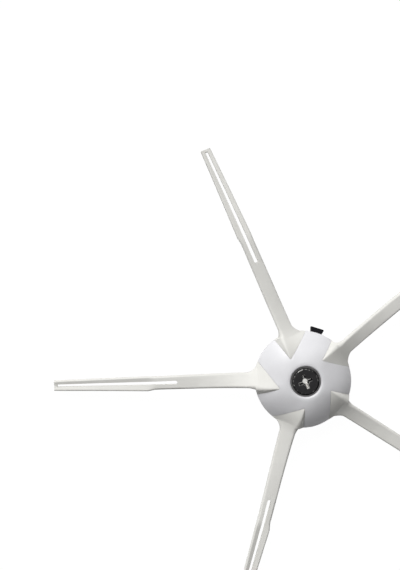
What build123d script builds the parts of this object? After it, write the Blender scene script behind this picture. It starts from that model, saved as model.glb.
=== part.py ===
from build123d import *
import math
import os

# Five-armed side brush of a robot vacuum, in millimetres, standing on the boss of its core, dome up.
# The hub's axis is Z, the seat on the robot is z = 0, and one arm points along -X.

# Arms round the hub
ARM_COUNT = 5
FIRST_ARM_ANGLE = 36.0
ARM_LEANS = {1: 2.03, 2: -1.36}  # degrees that two of the soft arms lean off their nominal directions
ARM_BOWS = {1: -0.2, 2: -0.16}  # and how far the same arms bow to the left at the middle

# White dome
HUB_RADIUS = 16.6
DOME_HEIGHT = 8.5
RIM_HEIGHT = 2.3  # straight side under the dome
DOME_BULGE = 1.2  # rise of the dome's arc over its chord
PETAL_FALL = 1.3  # drop of each petal's rim from its right end to its left end
PETAL_PEAK = 18.0  # where each petal is highest, in degrees to the left of an arm
TOP_LAND = 1.1  # flat ring round the screw opening
OPENING_RADIUS = 5.1
OPENING_ROUND = 0.6
SHELL_WALL = 2.0
BLANK_RADIUS = 4.0  # inner edge of the dome's blank, before the screw opening is cut
PETAL_ROUND = 0.9  # soft edge at each petal's rim
DOME_SECTIONS = 5  # sections that shape the dome between one arm and the next

# Black core
BOSS_RADIUS = 8.6
BOSS_HEIGHT = 5.0
BOSS_CHAMFER = 0.5
FLANGE_THICKNESS = 2.0
FLANGE_INSET = 0.5  # flange edge, back from the dome's side
PEDESTAL_RADIUS = 7.4
PEDESTAL_CHAMFER = 1.5  # keeps the pedestal's top edge off the dome's inside
SPIGOT_WALL = 0.9
SPIGOT_HEIGHT = 1.2
SPIGOT_GAP = 0.15  # between the spigot and the dome's inside
SOCKET_WIDTH = 7.0  # square socket for the robot's drive shaft
SOCKET_CORNER = 0.8
WEB_THICKNESS = 2.0  # floor that the screw head bears on
CUP_CLEARANCE = 0.3  # round the screw head
COLLAR_GAP = 0.1  # between the collar round the head and the dome's opening
COLLAR_DROP = 0.6  # top of the collar, below the top of the dome
LUG_ANGLE = 69.2
LUG_ROOT_WIDTH = 3.5  # at the flange edge
LUG_END_WIDTH = 4.8
LUG_REACH = 2.15  # past the flange edge
LUG_EMBED = 2.0  # and back into the flange
LUG_ROUND = 0.4

# Black captive screw
HEAD_RADIUS = 4.3
HEAD_HEIGHT = 2.3
HEAD_ROUND = 0.35
HEAD_RECESS = 0.5  # top of the head, below the top of the dome
NECK_RADIUS = 1.2
NECK_CLEARANCE = 0.2
NECK_FLOAT = 1.5  # travel before the thread meets the web
THREAD_RADIUS = 1.5
THREAD_LENGTH = 4.5
THREAD_TIP = 0.5
CROSS_ANGLE = 18.4
CROSS_SPAN = 4.8
CROSS_WING = 0.9
CROSS_CORE_RADIUS = 1.2
CROSS_DEPTH = 1.8
CROSS_TAPER = 12.0

# Cream silicone star: the ring under the dome and the roots in its notches
RING_GAP = 0.1  # round the pedestal
RING_WIDTH = 5.0
RING_HEIGHT = 2.6
APEX_REACH = 8.6  # distance along the arm of the root's inner point
APEX_ROUND = 0.4
RIDGE_OFFSET = 2.0  # ridge of the root, to the left of the arm's radial line
RIDGE_DROP = 1.9  # fall of the ridge from its inner point to the arm
VALLEY_ANGLE = -25.0  # where the root's right side meets the rim
FLANK_ANGLE = 14.5  # where its left side does
ROOT_SINK = 0.1  # sides of the root, below the petals beside them
ROOT_MARGIN = 0.8  # how far the root's sections run past its sides before they are trimmed
RIDGE_ROUND = 1.2  # soft top of the ridge where it meets the arm
ROOT_SECTIONS = 6
NOTCH_GAP = 0.05  # between the root and the dome

# Cream silicone star: the arms
TIP_RADIUS = 86.6
ARM_EMBED = 1.0  # first section of the arm, back from the hub's side
ARM_OFFSET = -0.73  # centre line of the arm, to the left of its radial line
ARM_ROOT_WIDTH = 5.1  # the strip tapers from here at the root
ARM_WIDTH = 4.55  # to here at the step
ARM_THICKNESS = 1.8
EDGE_ROUND = 0.7  # soft upper edges of the strip
SIDE_SPLIT = 0.35  # height of the corner on its left side, as a share of that side
RIGHT_FLARE = 2.2  # extra width at the root
LEFT_FLARE = 1.2
FLARE_LENGTH = 3.6
LEVEL_RADIUS = 41.0  # from here to the step the arm is level
SLOW_POWER = 3  # the arm levels out slowly, with a quick curve where it leaves the ridge
QUICK_POWER = 12
STEP_RADIUS = 50.9  # where the arm changes from a flat strip to a shallow channel
STEP_LENGTH = 2.6
STEP_LEVEL = 8.7  # height of the arm's top at the step
TIP_LEVEL = 4.2  # and at the tip
STEP_LEFT_OUT = 0.45  # how far each channel edge steps out and up
STEP_RIGHT_OUT = 0.1
STEP_LEFT_UP = 0.45
STEP_RIGHT_UP = 0.35
CHANNEL_DIP = 0.2
CHANNEL_DEPTH = 1.6
CHANNEL_ROUND = 0.45  # soft upper edges of the channelled part
TIP_WIDTH = 3.5
SLOT_START = 43.2
SLOT_WIDTH = 1.25
SLOT_END_WIDTH = 0.9
TIP_BRIDGE = 0.9  # closed end of the slot
STRIP_SECTIONS = 5  # sections that shape each smooth stretch of the strip
CHANNEL_SECTIONS = 4  # and the channelled outer part

# Heights and radii that follow from the sizes above
RIM_LEVEL = BOSS_HEIGHT + FLANGE_THICKNESS
TOP_LEVEL = RIM_LEVEL + DOME_HEIGHT
SHOULDER_LEVEL = RIM_LEVEL + RIM_HEIGHT
CEILING_LEVEL = TOP_LEVEL - SHELL_WALL
LAND_RADIUS = OPENING_RADIUS + TOP_LAND
FLANGE_RADIUS = HUB_RADIUS - FLANGE_INSET
ARM_START = HUB_RADIUS - ARM_EMBED
SEAT_LEVEL = TOP_LEVEL - HEAD_RECESS - HEAD_HEIGHT
SOCKET_DEPTH = SEAT_LEVEL - WEB_THICKNESS
CUT_HEIGHT = 2 * TOP_LEVEL  # tall enough to cut through everything


def rim_drop(angle):
    """Fall of the dome's rim at an angle from an arm: each petal slopes down to the next arm."""
    wave = math.cos(math.radians(ARM_COUNT * (angle - PETAL_PEAK)))
    return PETAL_FALL * (1 - wave) / 2


def dome_circle(drop):
    """Centre radius, centre height and radius of the arc that the dome's outside follows."""
    run = HUB_RADIUS - LAND_RADIUS
    fall = TOP_LEVEL - SHOULDER_LEVEL + drop
    chord = math.hypot(run, fall)
    radius = (chord**2 / 4 + DOME_BULGE**2) / (2 * DOME_BULGE)
    back = radius - DOME_BULGE
    centre_r = (LAND_RADIUS + HUB_RADIUS) / 2 - back * fall / chord
    centre_z = TOP_LEVEL - fall / 2 - back * run / chord
    return centre_r, centre_z, radius


def arc_height(r, inset=0.0, drop=0.0):
    """Height of the dome's outside at a radius, or of a surface a little inside it."""
    centre_r, centre_z, radius = dome_circle(drop)
    return centre_z + math.sqrt((radius - inset) ** 2 - (r - centre_r) ** 2)


def arc_radius(z, inset):
    """Radius where a surface inside the dome reaches a height."""
    centre_r, centre_z, radius = dome_circle(0.0)
    return centre_r + math.sqrt((radius - inset) ** 2 - (z - centre_z) ** 2)


def arc_between(start_r, end_r, inset=0.0, drop=0.0):
    """Arc in the XZ plane along the dome between two radii."""
    points = []
    for r in (start_r, (start_r + end_r) / 2, end_r):
        points.append((r, arc_height(r, inset, drop)))
    return ThreePointArc(*points)


def dome_height(x, y):
    """Height of the dome at a place in plan, for an arm along +X."""
    return arc_height(math.hypot(x, y), drop=rim_drop(math.degrees(math.atan2(y, x))))


def turned(outline):
    """Solid of revolution about Z of a closed outline drawn as radius and height."""
    return revolve(Plane.XZ * make_face(outline), axis=Axis.Z)


def rounded(points, tips):
    """Closed outline with some of its corners rounded. tips maps a corner's index to its radius."""
    plan = Polygon(*points, align=None)
    for index, size in tips.items():
        corner = plan.vertices().sort_by_distance((*points[index], 0))[0]
        plan = fillet(corner, size)
    return plan


def root_outline():
    """Plan of one notch, for an arm along +X: a sharp triangle that opens toward the rim."""
    apex = (APEX_REACH, RIDGE_OFFSET)
    corners = [apex]
    for angle in (VALLEY_ANGLE, FLANK_ANGLE):
        rim_x = HUB_RADIUS * math.cos(math.radians(angle))
        rim_y = HUB_RADIUS * math.sin(math.radians(angle))
        # carried on past the rim, so that the notch opens right through it
        corners.append((2 * rim_x - apex[0], 2 * rim_y - apex[1]))
    return rounded(corners, {0: APEX_ROUND})


def notches():
    """Tall cutters for all five notches."""
    cutter = Pos(0, 0, RIM_LEVEL) * extrude(root_outline(), CUT_HEIGHT)
    return [around(index, cutter) for index in range(ARM_COUNT)]


def notch_side(x, angle):
    """Sideways place of the notch's straight side that meets the rim at an angle."""
    rim_x = HUB_RADIUS * math.cos(math.radians(angle))
    rim_y = HUB_RADIUS * math.sin(math.radians(angle))
    return RIDGE_OFFSET + (rim_y - RIDGE_OFFSET) * (x - APEX_REACH) / (rim_x - APEX_REACH)


def ridge_height(x):
    """Height of the root's ridge: level where it leaves the dome, and steeper toward the arm."""
    share = (x - APEX_REACH) / (ARM_START - APEX_REACH)
    return dome_height(APEX_REACH, RIDGE_OFFSET) - RIDGE_DROP * share**2


def ridge_round(x):
    """Round on top of the ridge: it is sharp at the inner point, and grows toward the arm."""
    share = (x - APEX_REACH) / (ARM_START - APEX_REACH)
    return APEX_ROUND + (RIDGE_ROUND - APEX_ROUND) * min(max(share, 0), 1)


def side_slope(x, angle):
    """Fall of the root's top, for each millimetre sideways, from its ridge to the petal at one side."""
    rim_x = HUB_RADIUS * math.cos(math.radians(angle))
    x = min(max(x, APEX_REACH + APEX_ROUND), rim_x)
    y = notch_side(x, angle)
    return (ridge_height(x) - dome_height(x, y) + ROOT_SINK) / abs(y - RIDGE_OFFSET)


def root_section(x):
    """Section of a root: a ramp to the right of its ridge and a steeper flank to the left."""
    ridge_z = ridge_height(x)
    points = [(RIDGE_OFFSET, ridge_z)]
    for angle, side in ((FLANK_ANGLE, 1), (VALLEY_ANGLE, -1)):
        slope = side_slope(x, angle)
        reach = abs(notch_side(max(x, APEX_REACH), angle) - RIDGE_OFFSET) + ROOT_MARGIN
        reach = min(reach, (ridge_z - RIM_LEVEL - ROOT_MARGIN) / slope)
        edge = (RIDGE_OFFSET + side * reach, ridge_z - reach * slope)
        foot = (edge[0], RIM_LEVEL)
        points += [edge, foot] if side > 0 else [foot, edge]
    return Plane.YZ.offset(x) * rounded(points, {0: ridge_round(x)})


def root():
    """Wedge of silicone in one notch, with its sides flush with the petals."""
    start = APEX_REACH - ROOT_MARGIN
    end = HUB_RADIUS + ROOT_MARGIN
    sections = []
    for index in range(ROOT_SECTIONS):
        sections.append(root_section(start + (end - start) * index / (ROOT_SECTIONS - 1)))
    plan = offset(root_outline(), -NOTCH_GAP) & Circle(HUB_RADIUS)
    return loft(sections) & Pos(0, 0, RIM_LEVEL) * extrude(plan, CUT_HEIGHT)


def arm_level(x):
    """Height of the arm's top along its centre line: it levels out, is level to the step, then falls."""
    if x >= STEP_RADIUS:
        return STEP_LEVEL + (TIP_LEVEL - STEP_LEVEL) * (x - STEP_RADIUS) / (TIP_RADIUS - STEP_RADIUS)
    if x >= LEVEL_RADIUS:
        return STEP_LEVEL
    start = ridge_height(ARM_START) - side_slope(ARM_START, VALLEY_ANGLE) * (RIDGE_OFFSET - ARM_OFFSET)
    length = LEVEL_RADIUS - ARM_START
    ridge_fall = 2 * RIDGE_DROP / (ARM_START - APEX_REACH)
    quick = (ridge_fall * length - SLOW_POWER * (start - STEP_LEVEL)) / (QUICK_POWER - SLOW_POWER)
    slow = start - STEP_LEVEL - quick
    rest = 1 - (x - ARM_START) / length
    return STEP_LEVEL + slow * rest**SLOW_POWER + quick * rest**QUICK_POWER


def arm_centre(x, bend):
    """Sideways place of the arm's centre line. A bend is the arm's lean and its bow."""
    lean, bow = bend
    share = (x - ARM_START) / (TIP_RADIUS - ARM_START)
    return ARM_OFFSET + (x - ARM_START) * math.tan(math.radians(lean)) + 4 * bow * share * (1 - share)


def inner_section(x, bend):
    """Section of the strip between root and step: it is wide and tilted at the root, and levels out."""
    centre = arm_centre(x, bend)
    level = arm_level(x)
    along = (x - ARM_START) / (STEP_RADIUS - ARM_START)
    side = side_slope(ARM_START, VALLEY_ANGLE) * (1 - along) ** 2
    flare = max(0.0, 1 - (x - ARM_START) / FLARE_LENGTH)
    half = (ARM_ROOT_WIDTH + (ARM_WIDTH - ARM_ROOT_WIDTH) * along) / 2
    right_y = centre - half - RIGHT_FLARE * flare**2
    left_y = centre + half + LEFT_FLARE * flare**2
    ridge_y = flare * RIDGE_OFFSET + (1 - flare) * left_y
    right = (right_y, level + side * (right_y - centre))
    ridge = (ridge_y, level + side * (ridge_y - centre))
    # the underside is flat on the flange at the root, and follows the top farther out
    bottom_left = flare * RIM_LEVEL + (1 - flare) * (ridge[1] - ARM_THICKNESS)
    bottom_right = flare * RIM_LEVEL + (1 - flare) * (right[1] - ARM_THICKNESS)
    left = (left_y, bottom_left + SIDE_SPLIT * (ridge[1] - bottom_left))
    middle = ((right[0] + ridge[0]) / 2, (right[1] + ridge[1]) / 2)
    points = [right, middle, ridge, left, (left_y, bottom_left), (right_y, bottom_right)]
    left_round = flare * RIDGE_ROUND + (1 - flare) * EDGE_ROUND
    return Plane.YZ.offset(x) * rounded(points, {0: EDGE_ROUND, 2: left_round})


def inner_strip(start, end, bend):
    """Smooth stretch of the inner strip between two distances from the axis."""
    sections = []
    for index in range(STRIP_SECTIONS):
        share = index / (STRIP_SECTIONS - 1)
        sections.append(inner_section(start + (end - start) * share, bend))
    return loft(sections)


def outer_section(x, bend):
    """Section of the channelled outer arm: both edges stand above the slot."""
    centre = arm_centre(x, bend)
    level = arm_level(x)
    along = (x - STEP_RADIUS) / (TIP_RADIUS - STEP_RADIUS)
    half = (ARM_WIDTH + (TIP_WIDTH - ARM_WIDTH) * along) / 2
    right = (centre - half - STEP_RIGHT_OUT * (1 - along), level + STEP_RIGHT_UP)
    left = (centre + half + STEP_LEFT_OUT * (1 - along), level + STEP_LEFT_UP)
    floor = level - CHANNEL_DEPTH
    points = [right, (centre, level - CHANNEL_DIP), left, (left[0], (left[1] + floor) / 2)]
    points += [(left[0], floor), (right[0], floor)]
    return Plane.YZ.offset(x) * rounded(points, {0: CHANNEL_ROUND, 2: CHANNEL_ROUND})


def slot(bend):
    """Long tapering slot, round at its inner end and closed at the tip."""
    start_x = SLOT_START + SLOT_WIDTH / 2
    end_x = TIP_RADIUS - TIP_BRIDGE
    right, left = [], []
    for index in range(CHANNEL_SECTIONS):
        share = index / (CHANNEL_SECTIONS - 1)
        x = start_x + (end_x - start_x) * share
        half = (SLOT_WIDTH + (SLOT_END_WIDTH - SLOT_WIDTH) * share) / 2
        right.append((x, arm_centre(x, bend) - half))
        left.append((x, arm_centre(x, bend) + half))
    plan = Polygon(*right, *reversed(left), align=None)
    plan += Pos(start_x, arm_centre(start_x, bend)) * Circle(SLOT_WIDTH / 2)
    return extrude(plan, CUT_HEIGHT)


def arm(bend):
    """One arm along +X: tilted inner strip, short step, channelled outer part with a slot."""
    flare_end = ARM_START + FLARE_LENGTH
    step_end = STEP_RADIUS + STEP_LENGTH
    flat_end = inner_section(STEP_RADIUS, bend)
    channel = []
    for index in range(CHANNEL_SECTIONS):
        share = index / (CHANNEL_SECTIONS - 1)
        channel.append(outer_section(step_end + (TIP_RADIUS - step_end) * share, bend))
    pieces = inner_strip(ARM_START, flare_end, bend)
    pieces += inner_strip(flare_end, LEVEL_RADIUS, bend)
    pieces += inner_strip(LEVEL_RADIUS, STEP_RADIUS, bend)
    pieces += loft([flat_end, channel[0]], ruled=True)
    pieces += loft(channel)
    return pieces - slot(bend)


def around(index, piece):
    """A piece made for an arm along +X, turned to its place in the pattern."""
    return Rot(0, 0, FIRST_ARM_ANGLE + index * 360 / ARM_COUNT) * piece


def round_edge(solid, radius, level, size):
    """Solid with its circular edge nearest to a radius and a height rounded to a size."""
    circles = solid.edges().filter_by(GeomType.CIRCLE)
    edge = circles.sort_by(lambda e: abs(e.radius - radius) + abs(e.center().Z - level))[0]
    return fillet(edge, size)


def dome_sector():
    """Fifth of the dome's outside, solid, between an arm along +X and the next one to its left."""
    sections = []
    for index in range(DOME_SECTIONS):
        angle = 360 / ARM_COUNT * index / (DOME_SECTIONS - 1)
        drop = rim_drop(angle)
        outline = [Line((BLANK_RADIUS, RIM_LEVEL), (BLANK_RADIUS, TOP_LEVEL))]
        outline += [Line((BLANK_RADIUS, TOP_LEVEL), (LAND_RADIUS, TOP_LEVEL))]
        outline += [arc_between(LAND_RADIUS, HUB_RADIUS, drop=drop)]
        outline += [Line((HUB_RADIUS, SHOULDER_LEVEL - drop), (HUB_RADIUS, RIM_LEVEL))]
        outline += [Line((HUB_RADIUS, RIM_LEVEL), (BLANK_RADIUS, RIM_LEVEL))]
        sections.append(Rot(0, 0, angle) * (Plane.XZ * make_face(outline)))
    return loft(sections)


def hub_shell():
    """White dome: a shell, open below, with a screw opening, five notches and sloping petals."""
    ceiling_end = arc_radius(CEILING_LEVEL, SHELL_WALL)
    inside_radius = HUB_RADIUS - SHELL_WALL
    inside_end = arc_height(inside_radius, SHELL_WALL)
    outline = [Line((0, RIM_LEVEL), (inside_radius, RIM_LEVEL))]
    outline += [Line((inside_radius, RIM_LEVEL), (inside_radius, inside_end))]
    outline += [arc_between(inside_radius, ceiling_end, SHELL_WALL)]
    outline += [Line((ceiling_end, CEILING_LEVEL), (0, CEILING_LEVEL))]
    outline += [Line((0, CEILING_LEVEL), (0, RIM_LEVEL))]
    shell = Part() + [around(index, dome_sector()) for index in range(ARM_COUNT)]
    shell -= turned(outline)
    shell -= extrude(Circle(OPENING_RADIUS), CUT_HEIGHT)
    shell -= notches()
    rims = []
    for edge in shell.edges():
        middle = edge @ 0.5
        on_rim = abs(math.hypot(middle.X, middle.Y) - HUB_RADIUS) < NOTCH_GAP
        upright = (edge @ 0 - edge @ 1).cross(Vector(0, 0, 1)).length < NOTCH_GAP
        if on_rim and not upright and middle.Z > RIM_LEVEL + NOTCH_GAP:
            rims.append(edge)
    shell = fillet(rims, PETAL_ROUND)
    return round_edge(shell, OPENING_RADIUS, TOP_LEVEL, OPENING_ROUND)


def drive_core():
    """Black core: boss with a square socket, flange, pedestal and collar round the screw, spigot, lug."""
    cup_radius = HEAD_RADIUS + CUP_CLEARANCE
    collar_radius = OPENING_RADIUS - COLLAR_GAP
    collar_level = TOP_LEVEL - COLLAR_DROP
    hole_radius = NECK_RADIUS + NECK_CLEARANCE
    points = [(hole_radius, 0), (BOSS_RADIUS - BOSS_CHAMFER, 0), (BOSS_RADIUS, BOSS_CHAMFER)]
    points += [(BOSS_RADIUS, BOSS_HEIGHT), (FLANGE_RADIUS, BOSS_HEIGHT), (FLANGE_RADIUS, RIM_LEVEL)]
    points += [(PEDESTAL_RADIUS, RIM_LEVEL), (PEDESTAL_RADIUS, CEILING_LEVEL - PEDESTAL_CHAMFER)]
    points += [(PEDESTAL_RADIUS - PEDESTAL_CHAMFER, CEILING_LEVEL), (collar_radius, CEILING_LEVEL)]
    points += [(collar_radius, collar_level), (cup_radius, collar_level)]
    points += [(cup_radius, SEAT_LEVEL), (hole_radius, SEAT_LEVEL)]
    core = turned(Polyline(*points, close=True))
    core -= extrude(RectangleRounded(SOCKET_WIDTH, SOCKET_WIDTH, SOCKET_CORNER), SOCKET_DEPTH)
    spigot_radius = HUB_RADIUS - SHELL_WALL - SPIGOT_GAP
    spigot = extrude(Circle(spigot_radius) - Circle(spigot_radius - SPIGOT_WALL), SPIGOT_HEIGHT)
    spigot = Pos(0, 0, RIM_LEVEL) * spigot - notches()
    return core + spigot + lug()


def lug():
    """Flared lug that stands out from the flange under one petal of the dome."""
    root_half = LUG_ROOT_WIDTH / 2
    end_half = LUG_END_WIDTH / 2
    end = FLANGE_RADIUS + LUG_REACH
    buried = FLANGE_RADIUS - LUG_EMBED
    corners = [(buried, -root_half), (FLANGE_RADIUS, -root_half), (end, -end_half)]
    corners += [(end, end_half), (FLANGE_RADIUS, root_half), (buried, root_half)]
    plan = Polygon(*corners, align=None)
    plan = fillet(plan.vertices().group_by(Axis.X)[-1], LUG_ROUND)
    return Rot(0, 0, LUG_ANGLE) * Pos(0, 0, BOSS_HEIGHT) * extrude(plan, FLANGE_THICKNESS)


def fixing_screw():
    """Black captive screw: head with a cross recess, thin neck through the web, thread in the socket."""
    neck_end = SEAT_LEVEL - WEB_THICKNESS - NECK_FLOAT
    tip = neck_end - THREAD_LENGTH
    head_top = SEAT_LEVEL + HEAD_HEIGHT
    points = [(0, tip), (THREAD_RADIUS - THREAD_TIP, tip), (THREAD_RADIUS, tip + THREAD_TIP)]
    points += [(THREAD_RADIUS, neck_end), (NECK_RADIUS, neck_end), (NECK_RADIUS, SEAT_LEVEL)]
    points += [(HEAD_RADIUS, SEAT_LEVEL), (HEAD_RADIUS, head_top), (0, head_top)]
    screw = turned(Polyline(*points, close=True))
    rim = screw.edges().filter_by(GeomType.CIRCLE).group_by(Axis.Z)[-1]
    screw = fillet(rim, HEAD_ROUND)
    cross = Rectangle(CROSS_SPAN, CROSS_WING) + Rectangle(CROSS_WING, CROSS_SPAN)
    cross = Pos(0, 0, head_top) * Rot(0, 0, CROSS_ANGLE) * (cross + Circle(CROSS_CORE_RADIUS))
    return screw - extrude(cross, -CROSS_DEPTH, taper=CROSS_TAPER)


def sweeper_star():
    """Cream silicone star: a ring round the pedestal, five roots in the notches and five arms."""
    inner = PEDESTAL_RADIUS + RING_GAP
    ring = extrude(Circle(inner + RING_WIDTH) - Circle(inner), RING_HEIGHT)
    star = Pos(0, 0, RIM_LEVEL) * ring
    for index in range(ARM_COUNT):
        bend = (ARM_LEANS.get(index, 0.0), ARM_BOWS.get(index, 0.0))
        star += around(index, root() + arm(bend))
    return star


os.makedirs("parts", exist_ok=True)
for name, piece in (
    ("hub_shell", hub_shell()),
    ("sweeper_star", sweeper_star()),
    ("drive_core", drive_core()),
    ("fixing_screw", fixing_screw()),
):
    piece.label = name
    export_step(piece, f"parts/{name}.step")
    print(name, "volume", round(piece.volume, 1), "solids", len(piece.solids()))
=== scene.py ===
# %% [markdown]
# # A robot vacuum's side brush
#
# This lesson dresses a small brush that sweeps dust out of corners. It has a white plastic dome, five cream
# silicone arms, a black core under the dome and one black screw in the middle. The solids come from a CAD
# model, already at their real size in metres, so nothing here is placed by eye. We load them first, with a
# helper that reads the box of each.

# %% Load the solids
import math

import bmesh
import bpy
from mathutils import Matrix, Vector

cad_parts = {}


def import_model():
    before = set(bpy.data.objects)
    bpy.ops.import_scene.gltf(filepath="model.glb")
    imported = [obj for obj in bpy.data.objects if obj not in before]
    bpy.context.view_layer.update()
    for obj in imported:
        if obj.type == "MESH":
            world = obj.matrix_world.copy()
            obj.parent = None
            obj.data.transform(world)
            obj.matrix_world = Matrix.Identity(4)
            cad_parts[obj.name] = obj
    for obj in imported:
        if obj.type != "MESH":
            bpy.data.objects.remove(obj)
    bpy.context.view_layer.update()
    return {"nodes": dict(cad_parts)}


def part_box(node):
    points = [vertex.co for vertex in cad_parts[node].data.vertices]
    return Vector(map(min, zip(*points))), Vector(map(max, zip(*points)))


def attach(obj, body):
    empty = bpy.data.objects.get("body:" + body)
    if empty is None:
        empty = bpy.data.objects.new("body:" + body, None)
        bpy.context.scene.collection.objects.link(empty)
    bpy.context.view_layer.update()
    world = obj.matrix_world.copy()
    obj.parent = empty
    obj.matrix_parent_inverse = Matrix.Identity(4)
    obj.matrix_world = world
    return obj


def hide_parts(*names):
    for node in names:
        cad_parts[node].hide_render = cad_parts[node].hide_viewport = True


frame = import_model()
nodes = frame["nodes"]
MM = 0.001
scene = bpy.context.scene
scene.view_settings.view_transform = "Standard"

# %% [markdown]
# ## Helpers for materials
#
# Every finish below is a Principled BSDF whose colour, roughness and bump come from nodes. Three short
# helpers keep those node trees readable: one adds a node and sets its sockets, one links two sockets, and
# one makes the material with its shader.

# %% Node helpers


def add_node(tree, kind, settings=None, **inputs):
    """New node in a tree. settings are its properties, and inputs are values for its sockets."""
    node = tree.nodes.new(kind)
    for name, value in (settings or {}).items():
        setattr(node, name, value)
    for name, value in inputs.items():
        node.inputs[name.replace("_", " ")].default_value = value
    return node


def link(tree, source, target):
    """Link from an output socket to an input socket."""
    tree.links.new(source, target)


def principled(name, **inputs):
    """New material with a Principled BSDF, and its tree and shader."""
    material = bpy.data.materials.new(name)
    material.use_nodes = True
    tree = material.node_tree
    shader = tree.nodes["Principled BSDF"]
    for socket, value in inputs.items():
        shader.inputs[socket.replace("_", " ")].default_value = value
    return material, tree, shader


print("helpers ready")

# %% [markdown]
# ## Moulded skin, an effect that all the finishes share
#
# A moulded part is never one flat colour. The mould's surface leaves a fine grain, and the melt cools into
# patches that differ a little in tone and gloss. Painted textures could show that, but noise in object space
# needs no unwrapping and keeps its real scale. It is built once as a node group with two noises: a coarse one
# for the tone, and a fine one for the grain's height.

# %% Node group for the moulded skin
PATCH_NOISE = {"Detail": 3.0, "Roughness": 0.55}
GRAIN_NOISE = {"Detail": 2.0, "Roughness": 0.6}


def group_socket(group, name, direction):
    """Named number socket on the outside of a node group."""
    return group.interface.new_socket(name=name, in_out=direction, socket_type="NodeSocketFloat")


def moulded_skin():
    """Group that puts out a tone from 0 to 1 and a grain height."""
    group = bpy.data.node_groups.new("moulded_skin", "ShaderNodeTree")
    for name in ("Patch Scale", "Grain Scale"):
        group_socket(group, name, "INPUT")
    for name in ("Tone", "Grain"):
        group_socket(group, name, "OUTPUT")
    inside = add_node(group, "NodeGroupInput")
    outside = add_node(group, "NodeGroupOutput")
    place = add_node(group, "ShaderNodeTexCoord")
    patches = add_node(group, "ShaderNodeTexNoise", **PATCH_NOISE)
    grain = add_node(group, "ShaderNodeTexNoise", **GRAIN_NOISE)
    for noise, scale in ((patches, "Patch Scale"), (grain, "Grain Scale")):
        link(group, place.outputs["Object"], noise.inputs["Vector"])
        link(group, inside.outputs[scale], noise.inputs["Scale"])
    link(group, patches.outputs["Fac"], outside.inputs["Tone"])
    link(group, grain.outputs["Fac"], outside.inputs["Grain"])
    return group


MOULDED_SKIN = moulded_skin()
print("group", MOULDED_SKIN.name, "with", len(MOULDED_SKIN.nodes), "nodes")

# %% [markdown]
# ## Settled dust, an effect for the black pieces
#
# Black plastic shows every speck. Dust lies on faces that look up, gathers in patches, and stays on the narrow
# ring round the screw, where no cloth reaches. The group turns the surface's upward tilt, its height and a noise
# into one mask, and each black finish mixes a grey over its own colour with it.

# %% Node group for the dust
DUST_NOISE = {"Scale": 900.0, "Detail": 5.0, "Roughness": 0.7}


def settled_dust():
    """Group that puts out a mask of dust on faces that look up, above a height in metres."""
    group = bpy.data.node_groups.new("settled_dust", "ShaderNodeTree")
    for name in ("Amount", "Clean Below"):
        group_socket(group, name, "INPUT")
    group_socket(group, "Mask", "OUTPUT")
    inside = add_node(group, "NodeGroupInput")
    outside = add_node(group, "NodeGroupOutput")
    place = add_node(group, "ShaderNodeTexCoord")
    noise = add_node(group, "ShaderNodeTexNoise", **DUST_NOISE)
    link(group, place.outputs["Object"], noise.inputs["Vector"])
    surface = add_node(group, "ShaderNodeNewGeometry")
    tilt = add_node(group, "ShaderNodeSeparateXYZ")
    link(group, surface.outputs["Normal"], tilt.inputs[0])
    height = add_node(group, "ShaderNodeSeparateXYZ")
    link(group, surface.outputs["Position"], height.inputs[0])
    above = add_node(group, "ShaderNodeMath", {"operation": "GREATER_THAN"})
    link(group, height.outputs["Z"], above.inputs[0])
    link(group, inside.outputs["Clean Below"], above.inputs[1])
    mask = tilt.outputs["Z"]
    for factor in (noise.outputs["Fac"], above.outputs[0], inside.outputs["Amount"]):
        product = add_node(group, "ShaderNodeMath", {"operation": "MULTIPLY", "use_clamp": True})
        link(group, mask, product.inputs[0])
        link(group, factor, product.inputs[1])
        mask = product.outputs[0]
    link(group, mask, outside.inputs["Mask"])
    return group


SETTLED_DUST = settled_dust()
print("group", SETTLED_DUST.name, "with", len(SETTLED_DUST.nodes), "nodes")

# %% [markdown]
# ## Layers that build a finish
#
# Three small functions place the groups in a material. The first gives the tone, the gloss and the grain. The
# second lays dust over a colour. The third lets bare metal show where a mesh is marked as worn, or marked for a
# painted highlight: the mark is a number on each face, and a noise breaks it up, so that the metal shows in
# ragged patches instead of clean areas.

# %% Skin, dust and bare metal
MIX_FACTOR = 0  # places of the colour sockets on a mix node
MIX_UNDER = 6
MIX_OVER = 7
MIX_RESULT = 2


def mixed_colour(tree, mask, under, over):
    """Mix of two colours by a mask. Either colour is a plain colour or an output socket."""
    mix = add_node(tree, "ShaderNodeMix", {"data_type": "RGBA"})
    link(tree, mask, mix.inputs[MIX_FACTOR])
    for socket, colour in ((mix.inputs[MIX_UNDER], under), (mix.inputs[MIX_OVER], over)):
        if isinstance(colour, tuple):
            socket.default_value = (*colour, 1.0)
        else:
            link(tree, colour, socket)
    return mix.outputs[MIX_RESULT]


def skin_layers(tree, shader, dark, light, rough, patch, grain, depth):
    """Tone, roughness and grain of a finish, from the shared skin group."""
    skin = add_node(tree, "ShaderNodeGroup", {"node_tree": MOULDED_SKIN}, Patch_Scale=patch, Grain_Scale=grain)
    gloss = add_node(tree, "ShaderNodeMapRange", To_Min=rough[0], To_Max=rough[1])
    link(tree, skin.outputs["Tone"], gloss.inputs["Value"])
    link(tree, gloss.outputs["Result"], shader.inputs["Roughness"])
    bump = add_node(tree, "ShaderNodeBump", Strength=1.0, Distance=depth)
    link(tree, skin.outputs["Grain"], bump.inputs["Height"])
    link(tree, bump.outputs["Normal"], shader.inputs["Normal"])
    return mixed_colour(tree, skin.outputs["Tone"], dark, light)


def dusty(tree, colour, amount, clean_below, dust):
    """Grey dust over a finish's own colour."""
    mask = add_node(
        tree, "ShaderNodeGroup", {"node_tree": SETTLED_DUST}, Amount=amount, Clean_Below=clean_below
    )
    return mixed_colour(tree, mask.outputs["Mask"], colour, dust)


# the mark holds wear, and on one side of the screw's rim a painted highlight
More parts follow.
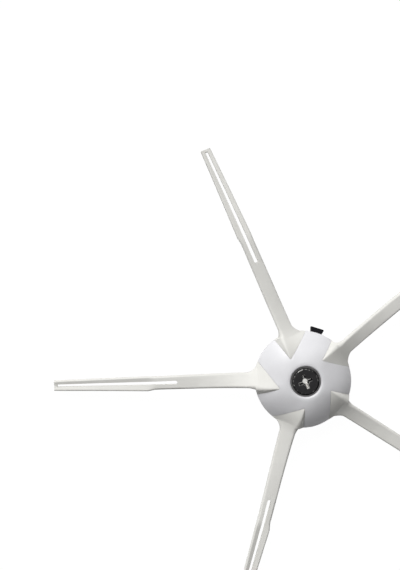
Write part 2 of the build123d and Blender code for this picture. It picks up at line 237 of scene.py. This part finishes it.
WEAR_AND_HIGHLIGHT = "wear_and_highlight"
WEAR_GAIN = 1.6
WEAR_EDGE = 0.35
WEAR_NOISE = {"Scale": 1500.0, "Detail": 4.0}


def bare_metal(tree, shader, colour, metal):
    """Bright metal where the mesh is marked: wear, and a painted highlight on one side of the screw's rim."""
    mark = add_node(tree, "ShaderNodeAttribute", {"attribute_name": WEAR_AND_HIGHLIGHT})
    place = add_node(tree, "ShaderNodeTexCoord")
    noise = add_node(tree, "ShaderNodeTexNoise", **WEAR_NOISE)
    link(tree, place.outputs["Object"], noise.inputs["Vector"])
    gain = add_node(tree, "ShaderNodeMath", {"operation": "MULTIPLY"})
    gain.inputs[1].default_value = WEAR_GAIN
    link(tree, mark.outputs["Fac"], gain.inputs[0])
    ragged = add_node(tree, "ShaderNodeMath", {"operation": "SUBTRACT"})
    link(tree, gain.outputs[0], ragged.inputs[0])
    link(tree, noise.outputs["Fac"], ragged.inputs[1])
    mask = add_node(tree, "ShaderNodeMapRange", From_Max=WEAR_EDGE)
    link(tree, ragged.outputs[0], mask.inputs["Value"])
    link(tree, mask.outputs["Result"], shader.inputs["Metallic"])
    return mixed_colour(tree, mask.outputs["Result"], colour, metal)


print("layers ready")

# %% [markdown]
# ## The four finishes
#
# The dome is a cool white hard plastic with a satin face. The arms are a warm cream silicone, quite matte. The
# core is black plastic, and the screw is blackened steel that the screwdriver has rubbed bright in its cross
# recess. Each finish places the layers with its own values, and keeps the constants on the shader itself.

# %% Values of the finishes
WHITE_SKIN = {
    "dark": (0.76, 0.755, 0.775),
    "light": (0.84, 0.84, 0.86),
    "rough": (0.38, 0.5),
    "patch": 220.0,
    "grain": 4200.0,
    "depth": 0.006 * MM,
}
CREAM_SKIN = {
    "dark": (0.76, 0.75, 0.71),
    "light": (0.85, 0.845, 0.81),
    "rough": (0.5, 0.62),
    "patch": 160.0,
    "grain": 3000.0,
    "depth": 0.01 * MM,
}
BLACK_SKIN = {
    "dark": (0.006, 0.006, 0.008),
    "light": (0.012, 0.012, 0.015),
    "rough": (0.42, 0.58),
    "patch": 400.0,
    "grain": 5000.0,
    "depth": 0.012 * MM,
}
STEEL_SKIN = {
    "dark": (0.008, 0.008, 0.009),
    "light": (0.02, 0.019, 0.021),
    "rough": (0.3, 0.42),
    "patch": 900.0,
    "grain": 6000.0,
    "depth": 0.008 * MM,
}
CREAM_SHADER = {"Specular_IOR_Level": 0.4}
BLACK_SHADER = {"Specular_IOR_Level": 0.08, "Coat_Roughness": 0.2}
STEEL_SHADER = {"Specular_IOR_Level": 0.1, "Coat_Weight": 0.13, "Coat_Roughness": 0.12}
CORE_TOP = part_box("drive_core")[1][2]
RING_LEVEL = CORE_TOP - 0.9 * MM
RING_DUST = {"amount": 0.8, "clean_below": RING_LEVEL, "dust": (0.25, 0.24, 0.24)}
RING_POLISH = 2.0
HEAD_DUST = {"amount": 0.03, "clean_below": RING_LEVEL, "dust": (0.3, 0.29, 0.27)}
BARE_STEEL = (0.72, 0.71, 0.69)
print("dust lies above", round(RING_LEVEL / MM, 2), "mm")

# %% [markdown]
# Each finish is one short function. It makes the shader, lays the skin over it and then adds what is special to
# that piece: dust and a polish on the ring of the core, and bare metal on the screw.

# %% Build the finishes


def white_plastic():
    """Cool white hard plastic of the dome."""
    material, tree, shader = principled("white_plastic")
    link(tree, skin_layers(tree, shader, **WHITE_SKIN), shader.inputs["Base Color"])
    return material


def cream_silicone():
    """Warm matte silicone of the arms."""
    material, tree, shader = principled("cream_silicone", **CREAM_SHADER)
    link(tree, skin_layers(tree, shader, **CREAM_SKIN), shader.inputs["Base Color"])
    return material


def black_plastic():
    """Black hard plastic of the core, dusty and polished on the ring round the screw."""
    material, tree, shader = principled("black_plastic", **BLACK_SHADER)
    colour = skin_layers(tree, shader, **BLACK_SKIN)
    link(tree, dusty(tree, colour, **RING_DUST), shader.inputs["Base Color"])
    polish = add_node(
        tree, "ShaderNodeGroup", {"node_tree": SETTLED_DUST}, Amount=RING_POLISH, Clean_Below=RING_LEVEL
    )
    link(tree, polish.outputs["Mask"], shader.inputs["Coat Weight"])
    return material


def black_steel():
    """Blackened steel of the screw, oily on top, worn bright in the recess, with a painted highlight on one side
    of its rim.
    """
    material, tree, shader = principled("black_steel", **STEEL_SHADER)
    colour = skin_layers(tree, shader, **STEEL_SKIN)
    colour = dusty(tree, colour, **HEAD_DUST)
    link(tree, bare_metal(tree, shader, colour, BARE_STEEL), shader.inputs["Base Color"])
    return material


FINISHES = {
    "hub_shell": white_plastic(),
    "sweeper_star": cream_silicone(),
    "drive_core": black_plastic(),
    "fixing_screw": black_steel(),
}
print("finishes", [m.name for m in FINISHES.values()])

# %% [markdown]
# ## Soft edges on the solids
#
# A CAD edge is infinitely sharp, and no moulded edge is. We could rebuild each piece, but its shape is right
# already. Two modifiers do the job and leave the mesh itself alone: Weld joins the faces that come in apart,
# and Bevel rounds each edge that turns by more than a set angle. Weighted normals then keep the flat faces flat.

# %% Weld and bevel
EDGE_ROUNDS = {"hub_shell": 0.12 * MM, "sweeper_star": 0.2 * MM, "drive_core": 0.12 * MM}
SHARP_ANGLE = math.radians(40.0)
WELD_DISTANCE = 0.002 * MM
EDGE_SEGMENTS = 3


def soften(node, width):
    """Rounded edges on a solid, by modifiers alone."""
    solid = nodes[node]
    weld = solid.modifiers.new("weld", "WELD")
    weld.merge_threshold = WELD_DISTANCE
    bevel = solid.modifiers.new("round", "BEVEL")
    bevel.width = width
    bevel.segments = EDGE_SEGMENTS
    bevel.limit_method = "ANGLE"
    bevel.angle_limit = SHARP_ANGLE
    normals = solid.modifiers.new("normals", "WEIGHTED_NORMAL")
    normals.keep_sharp = False
    return solid


for node, width in EDGE_ROUNDS.items():
    soften(node, width)
for node, finish in FINISHES.items():
    nodes[node].data.materials.clear()
    nodes[node].data.materials.append(finish)
print("softened", [len(nodes[n].modifiers) for n in sorted(nodes)])

# %% [markdown]
# ## The screw's head
#
# The screw is the one piece whose solid is too plain to be looked at closely: its thread is a bare cylinder, and
# the edges of its cross recess are sharp. We keep the head and the neck of the solid as a mesh of our own, take
# off everything below the neck, and bevel the recess's upper edge. Faces that a screwdriver rubs get a wear mark:
# most on the floor of the recess and in one of its four wings, a little on the other walls and on the edge. The
# head's round rim is rubbed too, and on its side toward the lamp more bare metal is laid as a painted highlight.

# %% Head with a worn cross recess
SCREW_LOW, SCREW_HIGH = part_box("fixing_screw")
THREAD_LOW = SCREW_LOW[2]
THREAD_TOP = THREAD_LOW + 4.5 * MM
HEAD_TOP = SCREW_HIGH[2]
HEAD_REACH = SCREW_HIGH[0]
RIM_ROUND = 0.35 * MM
RECESS_FLOOR = HEAD_TOP - 1.8 * MM
RECESS_REACH = 2.6 * MM
RECESS_EDGE = 0.09 * MM
RECESS_SEGMENTS = 2
ROUND_PROFILE = 0.5
FLAT_ANGLE = math.radians(1.0)
CLOSE = 0.01 * MM
RUBBED_WING = math.radians(288.4)
WING_HALF = math.radians(30.0)
WING_START = 0.7 * MM
EDGE_WEAR = 0.36
FLOOR_WEAR = 0.75
WING_WEAR = 0.55
WALL_WEAR = 0.2
RIM_WEAR = 0.3
# painted highlight: more bare metal on the rim's side toward the lamp
PAINTED_HIGHLIGHT_WEAR = 0.365
HIGHLIGHT_BEARING = math.radians(122.0)
HIGHLIGHT_HALF = math.radians(20.0)


def head_mesh():
    """Head and neck of the screw's solid, with its flat faces joined up again."""
    mesh = bmesh.new()
    solid = nodes["fixing_screw"]
    mesh.from_mesh(solid.data)
    mesh.transform(solid.matrix_world)
    bmesh.ops.remove_doubles(mesh, verts=mesh.verts, dist=WELD_DISTANCE)
    low = [face for face in mesh.faces if face.calc_center_median().z < THREAD_TOP + CLOSE]
    bmesh.ops.delete(mesh, geom=low, context="FACES")
    bmesh.ops.dissolve_limit(mesh, angle_limit=FLAT_ANGLE, verts=mesh.verts, edges=mesh.edges)
    mesh.faces.layers.float.new(WEAR_AND_HIGHLIGHT)
    return mesh


def bevel_recess(mesh):
    """Small bevel along the upper edge of the recess. Returns its faces."""
    rim = []
    for edge in mesh.edges:
        on_top = all(abs(v.co.z - HEAD_TOP) < CLOSE and v.co.xy.length < RECESS_REACH for v in edge.verts)
        if on_top and len(edge.link_faces) == 2 and edge.calc_face_angle() > SHARP_ANGLE:
            rim.append(edge)
    made = bmesh.ops.bevel(
        mesh, geom=rim, offset=RECESS_EDGE, segments=RECESS_SEGMENTS, profile=ROUND_PROFILE, affect="EDGES"
    )
    return made["faces"]


def turn_from(place, bearing):
    """Angle between a place's own bearing round the axis and a given bearing."""
    return abs(math.remainder(math.atan2(place.y, place.x) - bearing, 2 * math.pi))


def recess_wear(place):
    """Wear of a face in the recess."""
    if place.z < RECESS_FLOOR + CLOSE:
        return FLOOR_WEAR
    rubbed = turn_from(place, RUBBED_WING) < WING_HALF and place.xy.length > WING_START
    return WING_WEAR if rubbed else WALL_WEAR


def rim_wear_and_highlight(place):
    """Wear of a face on the head's round rim, and a painted highlight of more bare metal on the side toward the
    lamp.
    """
    return PAINTED_HIGHLIGHT_WEAR if turn_from(place, HIGHLIGHT_BEARING) < HIGHLIGHT_HALF else RIM_WEAR


def mark_wear_and_highlight(mesh, edge_faces):
    """Wear mark on each face that is rubbed, and the painted highlight on the rim's side toward the lamp."""
    wear_and_highlight = mesh.faces.layers.float[WEAR_AND_HIGHLIGHT]
    for face in mesh.faces:
        middle = face.calc_center_median()
        reach = middle.xy.length
        depth = HEAD_TOP - middle.z
        if reach < RECESS_REACH and CLOSE < depth < HEAD_TOP - RECESS_FLOOR + CLOSE:
            face[wear_and_highlight] = recess_wear(middle)
        elif reach > HEAD_REACH - RIM_ROUND and depth < RIM_ROUND:
            face[wear_and_highlight] = rim_wear_and_highlight(middle)
    for face in edge_faces:
        face[wear_and_highlight] = EDGE_WEAR
    return mesh


screw_mesh = head_mesh()
mark_wear_and_highlight(screw_mesh, bevel_recess(screw_mesh))
print("screw head with", len(screw_mesh.faces), "faces")

# %% [markdown]
# ## The screw's thread
#
# A thread is a groove that climbs round the shank. The Screw modifier could sweep a profile, but it leaves both
# ends open. Instead we lay a grid of points whose rows follow the helix: after a full turn each row meets the
# row one pitch above it. The radius is held back at the point and under the neck, where the rows run into a plain
# ring, so the thread fades out at both ends as a rolled one does.

# %% Helical thread
THREAD_PITCH = 0.5 * MM
THREAD_CREST = 1.5 * MM
THREAD_ROOT = 1.2 * MM
POINT_RADIUS = 1.0 * MM
TURN_STEPS = 48
THREAD_WELD = 0.0002 * MM
# share of the pitch at each corner of the thread's profile, and the radius there
PROFILE = ((0.0, THREAD_CREST), (0.125, THREAD_CREST), (0.4375, THREAD_ROOT), (0.6875, THREAD_ROOT))


def thread_rows():
    """Height above the point, and radius, of each row at the start of its turn."""
    turns = math.ceil((THREAD_TOP - THREAD_LOW) / THREAD_PITCH) + 2
    rows = []
    for turn in range(-1, turns):
        rows += [((turn + share) * THREAD_PITCH, radius) for share, radius in PROFILE]
    return rows


def add_thread(mesh):
    """Thread as a grid of faces, closed at the point."""
    grid = []
    for rise, radius in thread_rows():
        row = []
        for step in range(TURN_STEPS):
            z = THREAD_LOW + rise + THREAD_PITCH * step / TURN_STEPS
            z = min(max(z, THREAD_LOW), THREAD_TOP)
            held = min(radius, POINT_RADIUS + z - THREAD_LOW, THREAD_ROOT + THREAD_TOP - z)
            angle = 2 * math.pi * step / TURN_STEPS
            row.append(mesh.verts.new((held * math.cos(angle), held * math.sin(angle), z)))
        grid.append(row)
    made = []
    for index in range(len(grid) - 1 - len(PROFILE)):
        for step in range(TURN_STEPS):
            last = step + 1 == TURN_STEPS
            ahead = index + len(PROFILE) if last else index
            column = 0 if last else step + 1
            corners = (grid[index][step], grid[ahead][column], grid[ahead + 1][column], grid[index + 1][step])
            made.append(mesh.faces.new(corners))
    verts = [v for row in grid for v in row]
    bmesh.ops.remove_doubles(mesh, verts=verts, dist=THREAD_WELD)
    bmesh.ops.dissolve_degenerate(mesh, edges=mesh.edges, dist=THREAD_WELD)
    loose = [v for v in mesh.verts if not v.link_faces]
    bmesh.ops.delete(mesh, geom=loose, context="VERTS")
    point = [e for e in mesh.edges if e.is_boundary and all(v.co.z < THREAD_LOW + CLOSE for v in e.verts)]
    bmesh.ops.holes_fill(mesh, edges=point, sides=TURN_STEPS)
    return len(made)


print("thread with", add_thread(screw_mesh), "faces")

# %% [markdown]
# ## The finished screw
#
# The mesh becomes an object that stands for the plain solid. It rides on the screw's own body, so it turns when
# the joint turns, and it wears the black steel finish.

# %% Screw in its place


def finished_screw(mesh):
    """Object for the screw, smooth but for its sharp edges."""
    bmesh.ops.recalc_face_normals(mesh, faces=mesh.faces)
    for face in mesh.faces:
        face.smooth = True
        face.material_index = 0
    data = bpy.data.meshes.new("worn_screw")
    mesh.to_mesh(data)
    mesh.free()
    data.set_sharp_from_angle(angle=SHARP_ANGLE)
    data.materials.append(FINISHES["fixing_screw"])
    made = bpy.data.objects.new("worn_screw", data)
    scene.collection.objects.link(made)
    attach(made, "screw")
    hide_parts("fixing_screw")
    return made


screw = finished_screw(screw_mesh)
print(screw.name, "with", len(screw.data.polygons), "faces")

# %% [markdown]
# ## Floor and world
#
# The brush lies on white in the photograph. A brighter lamp would burn out the dome's pale faces, so the floor
# and the world show plain white to the camera through Light Path, while the light that reaches the brush stays at
# an ordinary level. A small share of the floor's own shading stays, which keeps the brush's soft shadow.

# %% Floor and world
FLOOR_SIZE = 6.0
FLOOR_DROP = 0.02 * MM
FLOOR_COLOUR = (0.8, 0.8, 0.8, 1.0)
FLOOR_SHADOW = 0.06
FLOOR_GLOW = 1.05
WORLD_FILL = 0.06
WORLD_SHOWN = 1.0
WHITE = (1.0, 1.0, 1.0, 1.0)


def seen_directly(tree):
    """1 where a camera, mirror or glass ray looks, and 0 for the light that bounces."""
    path = add_node(tree, "ShaderNodeLightPath")
    first = add_node(tree, "ShaderNodeMath", {"operation": "MAXIMUM"})
    link(tree, path.outputs["Is Camera Ray"], first.inputs[0])
    link(tree, path.outputs["Is Glossy Ray"], first.inputs[1])
    both = add_node(tree, "ShaderNodeMath", {"operation": "MAXIMUM"})
    link(tree, first.outputs[0], both.inputs[0])
    link(tree, path.outputs["Is Transmission Ray"], both.inputs[1])
    return both.outputs[0]


def floor():
    """White floor just under the brush."""
    bpy.ops.mesh.primitive_plane_add(size=FLOOR_SIZE, location=(0.0, 0.0, -FLOOR_DROP))
    plane = bpy.context.object
    plane.name = "floor"
    material = bpy.data.materials.new("white_floor")
    material.use_nodes = True
    tree = material.node_tree
    tree.nodes.clear()
    output = add_node(tree, "ShaderNodeOutputMaterial")
    matte = add_node(tree, "ShaderNodeBsdfDiffuse", Color=FLOOR_COLOUR)
    glow = add_node(tree, "ShaderNodeEmission", Strength=FLOOR_GLOW)
    shown = add_node(tree, "ShaderNodeMixShader", Fac=1.0 - FLOOR_SHADOW)
    link(tree, matte.outputs[0], shown.inputs[1])
    link(tree, glow.outputs[0], shown.inputs[2])
    choice = add_node(tree, "ShaderNodeMixShader")
    link(tree, seen_directly(tree), choice.inputs["Fac"])
    link(tree, matte.outputs[0], choice.inputs[1])
    link(tree, shown.outputs[0], choice.inputs[2])
    link(tree, choice.outputs[0], output.inputs["Surface"])
    plane.data.materials.append(material)
    return plane


def world():
    """White to the camera, and a weak fill for the shadows."""
    made = bpy.data.worlds.new("white_room")
    scene.world = made
    made.use_nodes = True
    tree = made.node_tree
    tree.nodes.clear()
    output = add_node(tree, "ShaderNodeOutputWorld")
    dim = add_node(tree, "ShaderNodeBackground", Strength=WORLD_FILL, Color=WHITE)
    white = add_node(tree, "ShaderNodeBackground", Strength=WORLD_SHOWN, Color=WHITE)
    choice = add_node(tree, "ShaderNodeMixShader")
    link(tree, seen_directly(tree), choice.inputs["Fac"])
    link(tree, dim.outputs[0], choice.inputs[1])
    link(tree, white.outputs[0], choice.inputs[2])
    link(tree, choice.outputs[0], output.inputs["Surface"])
    return made


print(floor().name, "and", world().name, "ready")

# %% [markdown]
# ## Lamp
#
# The shading on the petals tells where the light stood: above the upper left of the picture, a little more than
# forty degrees up, and broad enough to leave no hard shadow. A sun lamp with a wide angle gives that with one
# strength over the whole brush.

# %% Lamp
LAMP_BEARING = math.radians(115.0)
LAMP_HEIGHT = math.radians(42.0)
LAMP_STRENGTH = 3.1
LAMP_SPREAD = math.radians(40.0)


def lamp():
    """Broad lamp at the upper left."""
    data = bpy.data.lights.new("softbox", "SUN")
    data.energy = LAMP_STRENGTH
    data.angle = LAMP_SPREAD
    made = bpy.data.objects.new("softbox", data)
    scene.collection.objects.link(made)
    flat = math.cos(LAMP_HEIGHT)
    toward = Vector((flat * math.cos(LAMP_BEARING), flat * math.sin(LAMP_BEARING), math.sin(LAMP_HEIGHT)))
    made.rotation_euler = toward.to_track_quat("Z", "Y").to_euler()
    made.location = toward
    return made


print(lamp().name, "ready")

# %% [markdown]
# ## Camera
#
# The photograph looks straight down from about a quarter of a metre, with the hub low and to the right of its
# middle. The lens follows from the photograph's size: 672 pixels of focal length on a picture 570 pixels high.

# %% Camera
FOCAL_PIXELS = 672.3
IMAGE_HEIGHT = 570
SENSOR = 36.0
CAMERA_PLACE = Vector((-33.32, 34.55, 240.0)) * MM
CAMERA_TURN = math.radians(-3.6)
CLIP_START = 0.01


def camera():
    """Camera above the brush, looking straight down."""
    data = bpy.data.cameras.new("camera")
    data.sensor_width = SENSOR
    data.lens = FOCAL_PIXELS * SENSOR / IMAGE_HEIGHT
    data.clip_start = CLIP_START
    made = bpy.data.objects.new("camera", data)
    scene.collection.objects.link(made)
    made.location = CAMERA_PLACE
    made.rotation_euler = (0.0, 0.0, CAMERA_TURN)
    scene.camera = made
    return made


print("lens", round(camera().data.lens, 2), "mm")
